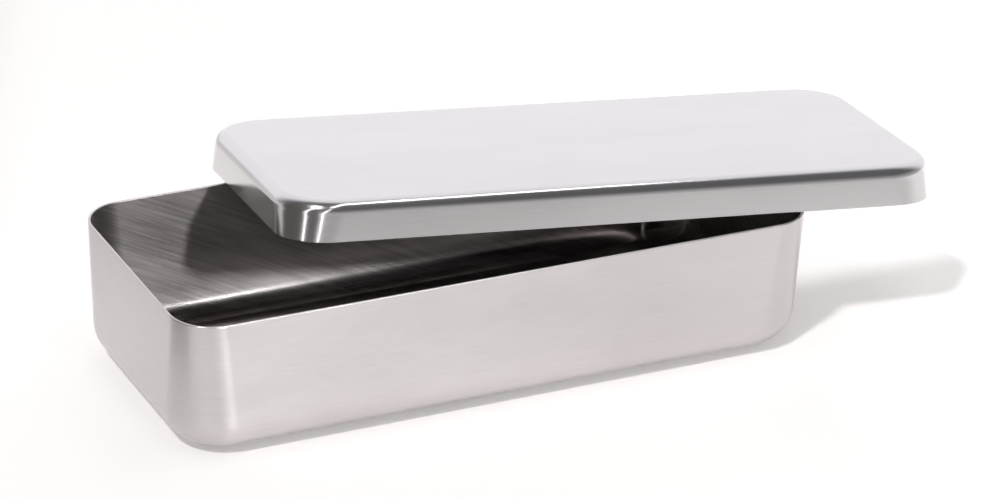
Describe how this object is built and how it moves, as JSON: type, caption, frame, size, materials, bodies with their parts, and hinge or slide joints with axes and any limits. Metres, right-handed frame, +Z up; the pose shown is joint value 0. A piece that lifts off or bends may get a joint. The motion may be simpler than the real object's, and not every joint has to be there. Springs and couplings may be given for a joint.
{
  "type": "instrument tray",
  "caption": "Small deep-drawn stainless steel instrument tray with round corners and a loose shallow lid lying askew across it.",
  "frame": {"origin": "centre of the flat underside that the tray stands on", "axes": "+Z up out of the tray's mouth, +X along the tray's length towards the lid's far end, +Y across its width towards the edge that the lid hangs over"},
  "size_m": [0.2211, 0.0978, 0.0558],
  "materials": {
    "tray_steel": "satin brushed stainless steel",
    "lid_steel": "fine satin stainless steel, brighter on the pressed edge"
  },
  "bodies": {
    "tray": {"tray": "tray_steel"},
    "lid": {"lid": "lid_steel"}
  },
  "joints": [
    {"name": "lid_lift", "type": "slide", "parent": "tray", "child": "lid", "axis": [0, 0, 1], "range_m": [0, 0.12]}
  ]
}
